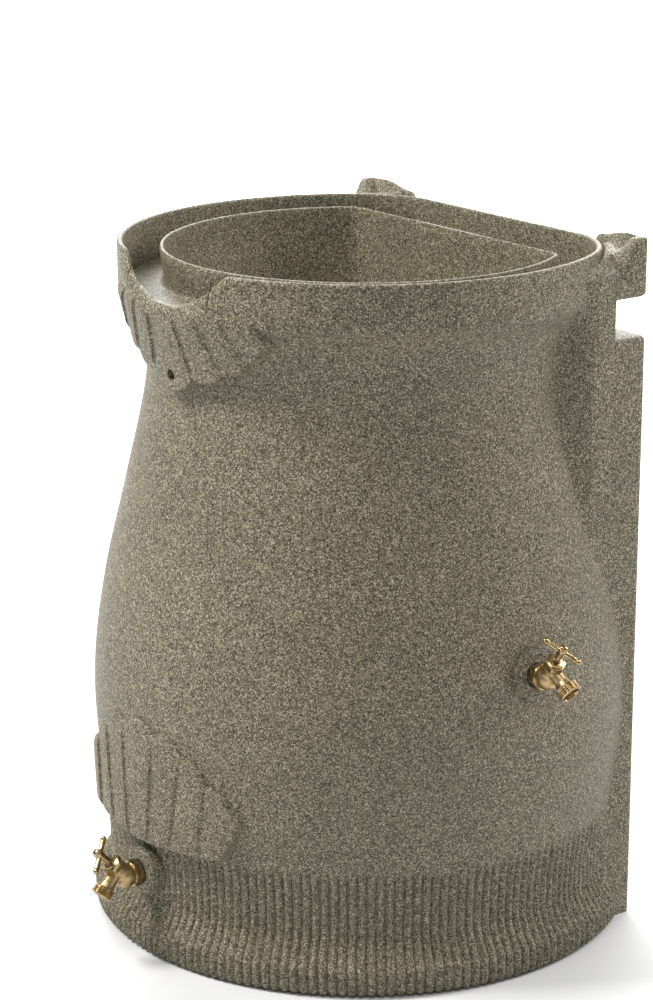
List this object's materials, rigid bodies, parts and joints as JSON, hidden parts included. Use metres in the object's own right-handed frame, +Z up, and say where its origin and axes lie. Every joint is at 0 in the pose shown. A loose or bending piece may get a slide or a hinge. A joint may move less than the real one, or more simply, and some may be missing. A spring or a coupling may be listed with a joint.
{
  "type": "rain barrel",
  "caption": "Flat-backed urn-shaped rain barrel with a lift-out planter in its top, a screened rain inlet, an overflow scoop and two brass taps.",
  "frame": {"origin": "on the axis of the round barrel, at ground level", "axes": "+Z up; the overflow scoop, the fans and the lower tap face -Y; the flat back faces +Y; the upper tap is on the +X side"},
  "size_m": [0.7169, 0.6105, 0.829],
  "materials": {
    "stone_plastic": "speckled sandstone, slightly pitted moulded skin",
    "brass": "cast and machined, lightly polished",
    "rubber": "matt",
    "stainless": "satin",
    "black_plastic": "fine moulded grain"
  },
  "bodies": {
    "barrel": {"barrel_shell": "stone_plastic", "upper_tap_body": "brass", "upper_tap_bonnet": "brass", "upper_tap_packing": "rubber", "upper_tap_outer_gasket": "rubber", "upper_tap_inner_gasket": "rubber", "upper_tap_lock_nut": "brass", "lower_tap_body": "brass", "lower_tap_bonnet": "brass", "lower_tap_packing": "rubber", "lower_tap_outer_gasket": "rubber", "lower_tap_inner_gasket": "rubber", "lower_tap_lock_nut": "brass"},
    "planter": {"planter_tray": "stone_plastic", "inlet_screen_frame": "black_plastic", "inlet_screen_mesh": "stainless", "inlet_screen_screws": "stainless"},
    "upper_washer": {"upper_tap_seat_washer": "rubber"},
    "upper_stem": {"upper_tap_stem": "brass", "upper_tap_handle": "brass", "upper_tap_handle_screw": "brass", "upper_tap_washer_screw": "brass"},
    "lower_washer": {"lower_tap_seat_washer": "rubber"},
    "lower_stem": {"lower_tap_stem": "brass", "lower_tap_handle": "brass", "lower_tap_handle_screw": "brass", "lower_tap_washer_screw": "brass"}
  },
  "joints": [
    {"name": "planter_lift", "type": "slide", "parent": "barrel", "child": "planter", "axis": [0, 0, 1], "range_m": [0, 0.2]},
    {"name": "upper_tap_rise", "type": "slide", "parent": "barrel", "child": "upper_washer", "axis": [0.6028, -0.0984, 0.7918], "range_m": [0, 0.0049]},
    {"name": "upper_tap_turn", "type": "hinge", "parent": "upper_washer", "child": "upper_stem", "pos_m": [0.37297, -0.00492, 0.40996], "axis": [0.6028, -0.0984, 0.7918], "range_deg": [0, 720]},
    {"name": "lower_tap_rise", "type": "slide", "parent": "barrel", "child": "lower_washer", "axis": [0, -0.7314, 0.682], "range_m": [0, 0.0049]},
    {"name": "lower_tap_turn", "type": "hinge", "parent": "lower_washer", "child": "lower_stem", "pos_m": [0, -0.37956, 0.13551], "axis": [0, -0.7314, 0.682], "range_deg": [0, 720]}
  ],
  "couplings": [
    {"joint": "upper_tap_turn", "follows": "upper_tap_rise", "rad_per_m": 2564},
    {"joint": "lower_tap_turn", "follows": "lower_tap_rise", "rad_per_m": 2564}
  ]
}
